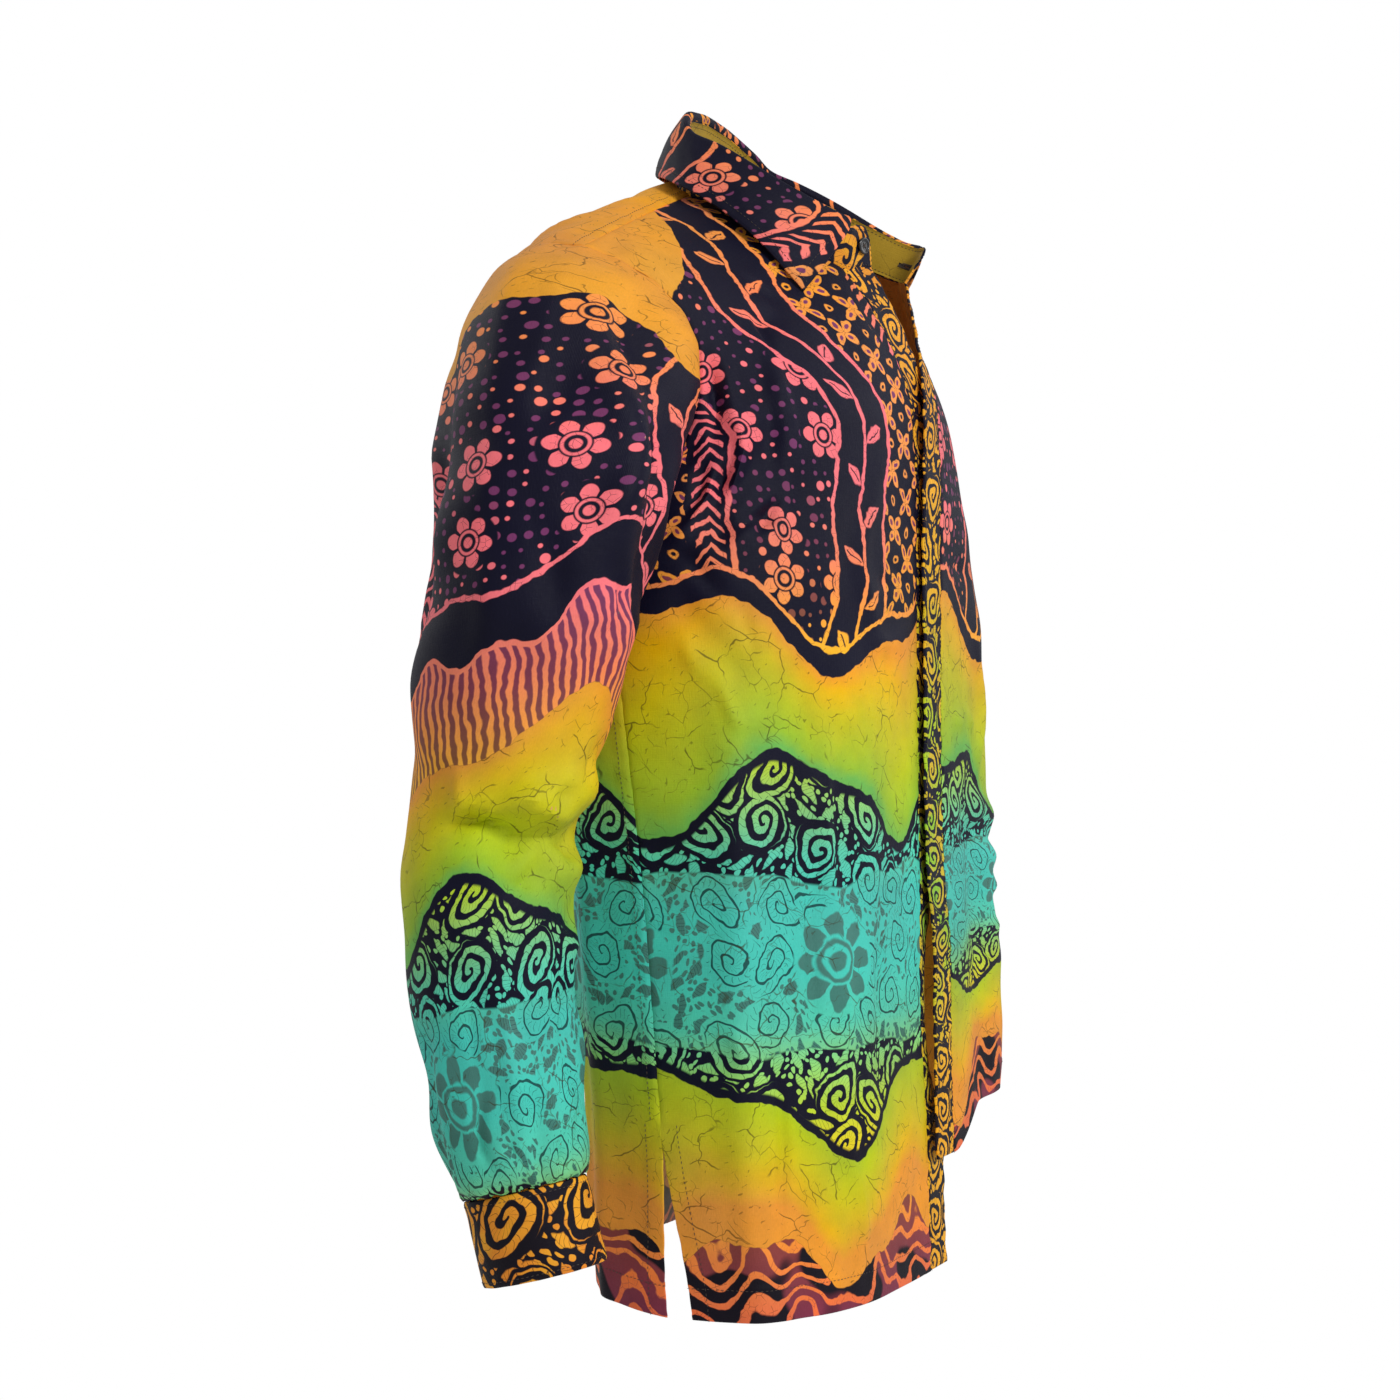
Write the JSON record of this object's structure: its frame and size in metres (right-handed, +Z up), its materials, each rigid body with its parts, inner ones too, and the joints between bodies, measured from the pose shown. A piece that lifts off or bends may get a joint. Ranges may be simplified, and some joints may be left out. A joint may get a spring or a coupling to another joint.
{
  "type": "batik shirt",
  "caption": "Long-sleeved hip-length batik shirt in worn form, with a stand collar and leaf, hidden front closure, back yoke, buttoned cuffs and side slits.",
  "frame": {"origin": "between the wearer's shoulders, at the height where the yoke meets the base of the neck", "axes": "+Z up, the front faces -Y and the wearer's right is -X"},
  "size_m": [0.666, 0.2772, 0.7613],
  "materials": {
    "cloth_front_right": "matt",
    "cloth_front_left": "matt",
    "cloth_back": "matt",
    "cloth_yoke": "matt",
    "cloth_band_right": "matt",
    "cloth_band_left": "matt",
    "cloth_sleeve_right": "matt",
    "cloth_sleeve_left": "matt",
    "cloth_placket_right": "matt",
    "cloth_placket_left": "matt",
    "cloth_cuff_right": "matt",
    "cloth_cuff_left": "matt",
    "cloth_stand": "matt",
    "cloth_leaf": "matt",
    "button": "gloss"
  },
  "bodies": {
    "root": {"right_front": "cloth_front_right", "left_front": "cloth_front_left", "back": "cloth_back", "yoke": "cloth_yoke", "right_band": "cloth_band_right", "left_band": "cloth_band_left", "right_sleeve": "cloth_sleeve_right", "left_sleeve": "cloth_sleeve_left", "right_sleeve_placket": "cloth_placket_right", "left_sleeve_placket": "cloth_placket_left", "right_cuff": "cloth_cuff_right", "left_cuff": "cloth_cuff_left", "collar_stand": "cloth_stand", "collar_leaf": "cloth_leaf", "collar_button": "button", "front_button_1": "button", "front_button_2": "button", "front_button_3": "button", "front_button_4": "button", "front_button_5": "button", "right_cuff_button": "button", "left_cuff_button": "button"}
  },
  "joints": []
}
